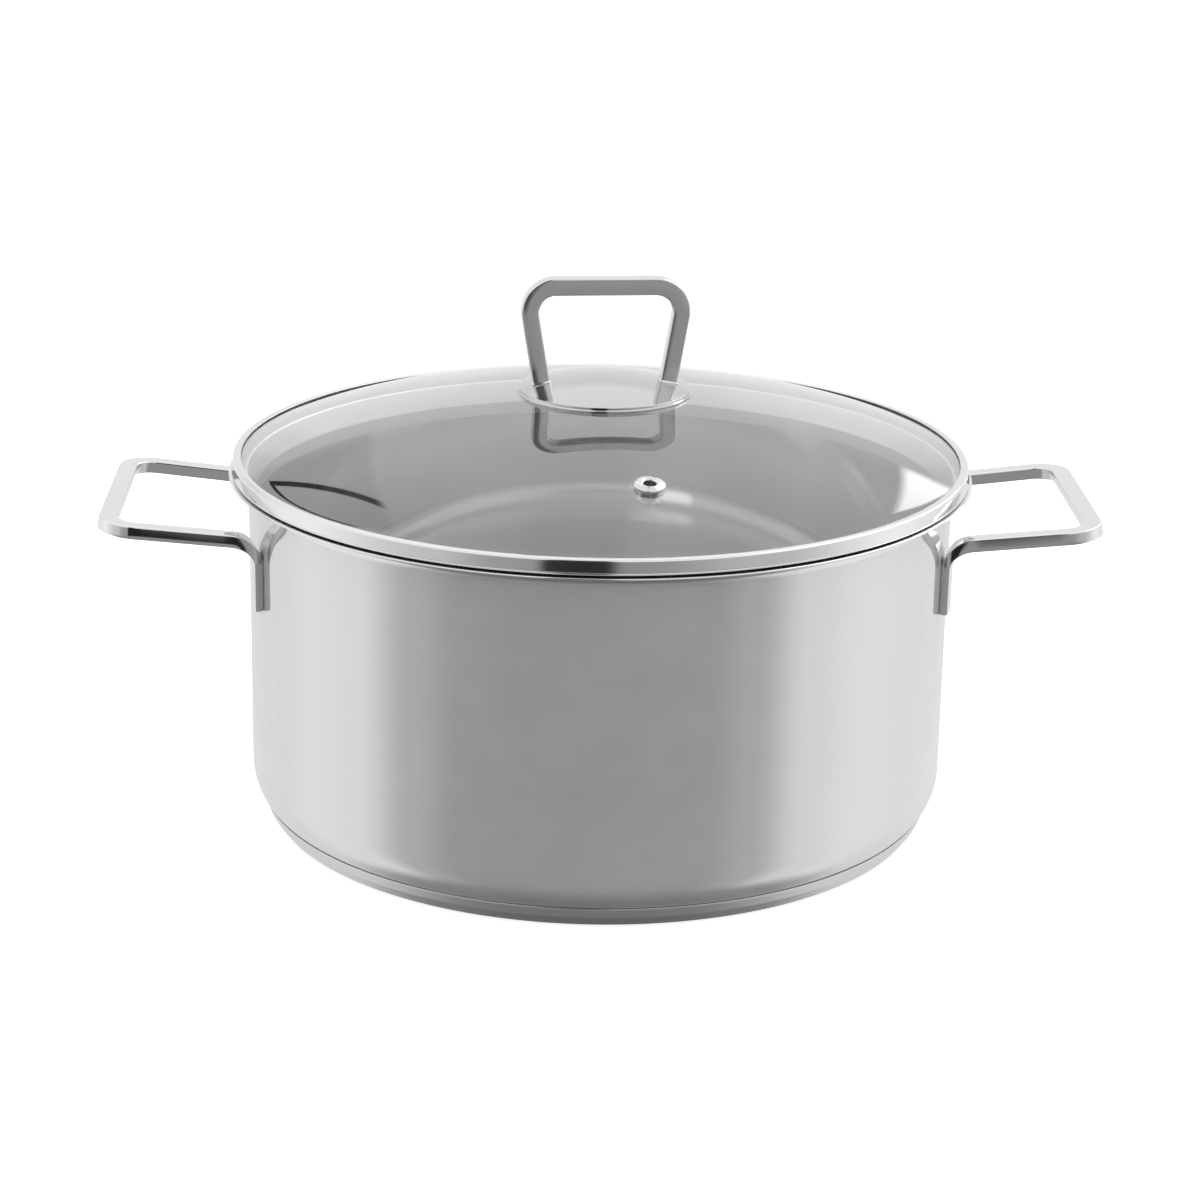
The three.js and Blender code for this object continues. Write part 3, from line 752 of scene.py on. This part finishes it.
def lid_handle_boss():
    low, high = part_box("lid_handle_boss")
    z0, z1, outer = low.z / MM, high.z / MM, high.x / MM
    seat = GLASS_TOP + 1.15
    neck = 4.2
    outline = rounded([
        (0, z1, 0), (outer, z1, 0.3), (outer, seat, 0.2), (neck, seat, 0.2), (neck, z0, 0.3),
        (2.3, z0, 0.2), (2.3, seat + 1.7, 0.1), (0, seat + 1.7, 0),
    ])
    piece = turned("bail_boss", [(outline, 0)], 96)
    return settle(piece, "lid", "lid_handle_boss", "plain_steel", PLAIN_AND_CRIMP_SHADE)


def lid_handle_screw():
    low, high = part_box("lid_handle_screw")
    z0, z1, head = low.z / MM, high.z / MM, high.x / MM
    seat = z0 + 2.6
    outline = rounded([
        (0, z0, 0), (head * 0.62, z0, 1.2), (head, z0 + 1.2, 1.0), (head, seat, 0.15), (2.0, seat, 0.1),
        (2.0, z1, 0.3), (0, z1, 0),
    ])
    piece = turned("lid_screw", [(outline, 0)], 96)
    for turn in (0, math.pi / 2):
        cross = lofted("cross", [
            (Vector((0, 0, z0 - 1)), Vector((1, 0, 0)), Vector((0, 1, 0)), 4.0, 0.9, 0.15),
            (Vector((0, 0, z0 + 0.9)), Vector((1, 0, 0)), Vector((0, 1, 0)), 3.0, 0.7, 0.15),
        ])
        cross.matrix_world = Matrix.Rotation(turn, 4, "Z")
        bpy.context.view_layer.update()
        cut(piece, cross)
    return settle(piece, "lid", "lid_handle_screw", "plain_steel", PLAIN_AND_CRIMP_SHADE)


# ---- vent -----------------------------------------------------------------

def vent_place():
    """Stands what is made about Z, with z = 0 on the glass, square on the dome at the vent."""
    tilt = math.asin(VENT_R / DOME_R)
    place = Matrix.Rotation(math.radians(VENT_AZ), 4, "Z")
    place = place @ Matrix.Translation(Vector((VENT_R, 0, dome_z(VENT_R))) * MM)
    return place @ Matrix.Rotation(tilt, 4, "Y")


def vent_eyelet():
    under = -GLASS_T - 0.3
    flange = VENT_FLANGE_R
    outline = rounded([
        (VENT_BORE_R, -1.0, 0), (VENT_BORE_R, 1.5, 0.5), (VENT_BORE_R + 0.9, 2.05, 0.5),
        (3.3, 1.62, 0.4), (3.9, 1.72, 0.3), (flange - 0.4, 1.45, 0.4), (flange, 1.15, 0.25),
        (flange - 0.3, 0.95, 0.15), (VENT_TUBE_R, 1.05, 0.3), (VENT_TUBE_R, under, 0.4),
        (flange - 1.0, under - 0.15, 0.2), (flange - 1.0, under - 0.65, 0.2),
        (VENT_TUBE_R, under - 0.8, 0.4), (VENT_BORE_R, under - 0.4, 0.4), (VENT_BORE_R, -1.0, 0),
    ], 4)

    def petals(r, z, a):
        if z > under + 0.3 or r < VENT_TUBE_R + 0.2:
            return r
        wave = abs(math.cos(a * PETALS / 2)) ** 0.6
        return VENT_TUBE_R + (r - VENT_TUBE_R) * (0.45 + 0.55 * wave)

    low = [i for i, (r, z) in enumerate(outline) if z < under + 0.3]
    top, crimp, rest = outline[:low[0]], outline[low[0]:low[-1] + 1], outline[low[-1] + 1:]
    # the crimp wears the darker plain steel: painted shade under the flange
    piece = turned("vent_ring", [(top, 0), (crimp, 1), (rest, 0)], 128, petals)
    baked(piece, vent_place())
    return settle(piece, "lid", "vent_eyelet", "polished_steel", RIM, PLAIN_AND_CRIMP_SHADE)


def vent_seal():
    inner = VENT_TUBE_R + 0.15
    outer = VENT_FLANGE_R - 0.7
    outline = rounded([
        (inner, 0.5, 0), (inner, 0.06, 0.1), (outer, 0.06, 0.3), (outer, 0.92, 0.3), (inner, 0.95, 0.1),
        (inner, 0.5, 0),
    ])
    piece = turned("vent_gasket", [(outline, 0)], 96)
    baked(piece, vent_place())
    return settle(piece, "lid", "vent_seal", "silicone", RUBBER)


# ---- studio ---------------------------------------------------------------

def camera():
    """Stands where the view constants say, aimed at the pot's middle."""
    data = bpy.data.cameras.new("camera")
    data.lens = LENS
    data.sensor_width = 36.0
    data.clip_start = 0.05
    data.clip_end = 60
    cam = bpy.data.objects.new("camera", data)
    bpy.context.scene.collection.objects.link(cam)
    turn, rise, roll = (math.radians(v) for v in (TURN, RISE, ROLL))
    spin = Matrix.Rotation(-turn, 3, "Z")
    ahead = spin @ Vector((0, math.cos(rise), -math.sin(rise)))
    right = spin @ Vector((1, 0, 0))
    up = right.cross(ahead)
    aim = (spin @ Vector((AIM_SIDE, 0, 0)) + Vector((0, 0, AIM_HEIGHT))) * MM
    side = right * math.cos(roll) + up * math.sin(roll)
    top = up * math.cos(roll) - right * math.sin(roll)
    axes = Matrix((side, top, -ahead)).transposed().to_4x4()
    cam.matrix_world = Matrix.Translation(aim - ahead * DISTANCE * MM) @ axes
    bpy.context.scene.camera = cam


def floor():
    """A pale sheet that the steel doesn't mirror: the studio's lower part stands for it there."""
    size = 12.0
    low = -0.0003
    verts = [(-size, -size, low), (size, -size, low), (size, size, low), (-size, size, low)]
    mesh = bpy.data.meshes.new("floor")
    mesh.from_pydata(verts, [], [(0, 1, 2, 3)])
    obj = bpy.data.objects.new("floor", mesh)
    bpy.context.scene.collection.objects.link(obj)
    mat, nt = node_tree("pale_floor")
    matte = add(nt, "ShaderNodeBsdfDiffuse")
    matte.inputs["Color"].default_value = (0.82, 0.82, 0.82, 1)
    glow = add(nt, "ShaderNodeEmission", in_Strength=0.62)
    both = add(nt, "ShaderNodeAddShader", {0: matte.outputs[0], 1: glow.outputs[0]})
    add(nt, "ShaderNodeOutputMaterial", {"Surface": both.outputs[0]})
    mesh.materials.append(mat)
    obj.visible_glossy = False


def ramp(nt, source, stops):
    """A smooth run of brightness over source, from (place, brightness) stops."""
    node = add(nt, "ShaderNodeValToRGB", {"Fac": source})
    node.color_ramp.interpolation = "EASE"
    elements = node.color_ramp.elements
    while len(elements) < len(stops):
        elements.new(0.5)
    for element, (place, level) in zip(elements, stops):
        element.position = place
        element.color = (level, level, level, 1)
    return node.outputs[0]


# brightness of the table, by degrees from the camera's own side, more to the right
TABLE = [
    (-180, 0.87), (-130, 0.93), (-104, 1.05), (-84, 1.0), (-62, 0.5), (-44, 0.33), (-20, 0.33), (36, 0.33),
    (52, 0.47), (72, 0.93), (96, 1.05), (130, 0.95), (180, 0.87),
]
# brightness of the room above it
ROOM = [
    (-180, 0.98), (-130, 1.0), (-100, 1.15), (-50, 0.7), (-30, 0.42), (0, 0.32), (14, 0.36), (50, 0.6),
    (100, 1.15), (130, 1.0), (180, 0.98),
]
# the one who takes the picture stands dark in front, by the same angles and by height
FIGURE = [(-19, 0.0), (-15, 1.0), (2, 1.0), (8, 0.0)]
FIGURE_TALL = [(-14, 0.0), (-11, 1.0), (58, 1.0), (66, 0.0)]
FIGURE_DIM = 0.97
# brightness below and above both, by height of the direction
CEILING = [
    (-90, 0.16), (-60, 0.24), (-35, 0.3), (0, 0.9), (20, 0.95), (32, 1.2), (50, 1.2), (70, 0.95), (90, 0.9),
]
TABLE_END = [(-14, 0.0), (-11, 1.0)]  # where the room starts
BELOW = [(-62, 1.0), (-44, 0.0)]  # where the table close round the pot starts
ABOVE = [(18, 0.0), (30, 1.0)]  # where the ceiling starts
# a lamp behind on the right, and on the left a screen's shady side with a stand before it: each is
# (lean, start, end), where an edge at height h stands at the angle start - lean * h or end - lean * h
LAMP = (0.44, 130, 171.8)
LAMP_HIGH = [(18.5, 0.0), (21, 1.0), (60, 1.0), (66, 0.0)]
LAMP_LIGHT = 2.1
SHADY = (-0.34, -174.2, -140)
SHADY_DIM = 0.13
STAND = (0.095, -157.5, -156.75)
STAND_DIM = 0.85


def studio():
    """The room that steel and glass mirror, by direction; the camera itself sees plain white."""
    world = bpy.data.worlds.new("studio")
    bpy.context.scene.world = world
    world.use_nodes = True
    nt = world.node_tree
    nt.nodes.clear()
    ray = add(nt, "ShaderNodeTexCoord").outputs["Generated"]
    spin = add(nt, "ShaderNodeMapping", {"Vector": ray}, vector_type="TEXTURE")
    spin.inputs["Rotation"].default_value = (0, 0, math.radians(-TURN))
    parts = add(nt, "ShaderNodeSeparateXYZ", {"Vector": spin.outputs[0]}).outputs
    angle = maths(nt, "ARCTAN2", parts["X"], maths(nt, "MULTIPLY", parts["Y"], -1))
    tilt = maths(nt, "ARCSINE", parts["Z"])
    round_share = ranged(nt, angle, 0.0, 1.0, from_min=-math.pi, from_max=math.pi)
    height_share = ranged(nt, parts["Z"], 0.0, 1.0, from_min=-1.0)

    def by_angle(stops):
        return ramp(nt, round_share, [(0.5 + a / 360, v) for a, v in stops])

    def by_height(stops):
        return ramp(nt, height_share, [((math.sin(math.radians(a)) + 1) / 2, v) for a, v in stops])

    def past(lean, place, soft):
        """1 to the right of a leaning line, else 0."""
        level = maths(nt, "MULTIPLY_ADD", tilt, lean, angle)
        step = add(nt, "ShaderNodeMapRange", {"Value": level}, interpolation_type="SMOOTHSTEP")
        step.inputs["From Min"].default_value = math.radians(place - soft)
        step.inputs["From Max"].default_value = math.radians(place + soft)
        return step.outputs[0]

    def strip(lean, start, end, soft):
        """1 between two leaning lines, else 0."""
        return maths(nt, "SUBTRACT", past(lean, start, soft), past(lean, end, soft))

    around = add(
        nt, "ShaderNodeMix", {"Factor": by_height(TABLE_END), "A": by_angle(TABLE), "B": by_angle(ROOM)},
    )
    far = maths(nt, "ADD", by_height(BELOW), by_height(ABOVE))
    light = add(nt, "ShaderNodeMix", {"Factor": far, "A": around.outputs[0], "B": by_height(CEILING)})
    screen = maths(nt, "MULTIPLY", strip(*SHADY, 0.5), by_height(LAMP_HIGH))
    depth = maths(nt, "MULTIPLY_ADD", strip(*STAND, 0.12), STAND_DIM, SHADY_DIM)
    dim = maths(nt, "MULTIPLY", screen, depth)
    dimmed = maths(nt, "MULTIPLY", light.outputs[0], maths(nt, "SUBTRACT", 1.0, dim))
    figure = maths(nt, "MULTIPLY", by_angle(FIGURE), by_height(FIGURE_TALL))
    shade = maths(nt, "MULTIPLY_ADD", figure, -FIGURE_DIM, 1.0)
    lamp = maths(nt, "MULTIPLY", strip(*LAMP, 0.5), by_height(LAMP_HIGH))
    total = maths(nt, "MULTIPLY_ADD", lamp, LAMP_LIGHT, maths(nt, "MULTIPLY", dimmed, shade))
    white = (1.0, 1.0, 1.0, 1)
    lit = add(nt, "ShaderNodeBackground", {"Strength": total}, in_Color=white)
    plain = add(nt, "ShaderNodeBackground", in_Color=white)
    seen = add(nt, "ShaderNodeLightPath").outputs["Is Camera Ray"]
    shown = add(nt, "ShaderNodeMixShader", {0: seen, 1: lit.outputs[0], 2: plain.outputs[0]})
    add(nt, "ShaderNodeOutputWorld", {"Surface": shown.outputs[0]})


def look():
    """Plain colours, and enough bounces for glass in front of steel."""
    scene = bpy.context.scene
    scene.view_settings.view_transform = "Standard"
    scene.view_settings.look = "None"
    scene.cycles.max_bounces = 16
    scene.cycles.glossy_bounces = 8
    scene.cycles.transparent_max_bounces = 24
    scene.cycles.use_denoising = True


camera()
floor()
studio()
look()

pot_shell()
base_cap()
side_handle("side_loop_left", "side_handle_left", -1)
side_handle("side_loop_right", "side_handle_right", 1)
heat_disc()

lid_rim_band()
lid_rim_seal()
lid_glass()
lid_handle()
lid_handle_plate()
lid_handle_boss()
boxed("lid_handle_gasket_upper", "bail_gasket_upper", "silicone", RUBBER, inner=4.4)
boxed("lid_handle_gasket_lower", "bail_gasket_lower", "silicone", RUBBER, inner=2.6)
boxed("lid_handle_washer", "bail_washer", "plain_steel", PLAIN_AND_CRIMP_SHADE, inner=2.3)
lid_handle_screw()
vent_eyelet()
vent_seal()
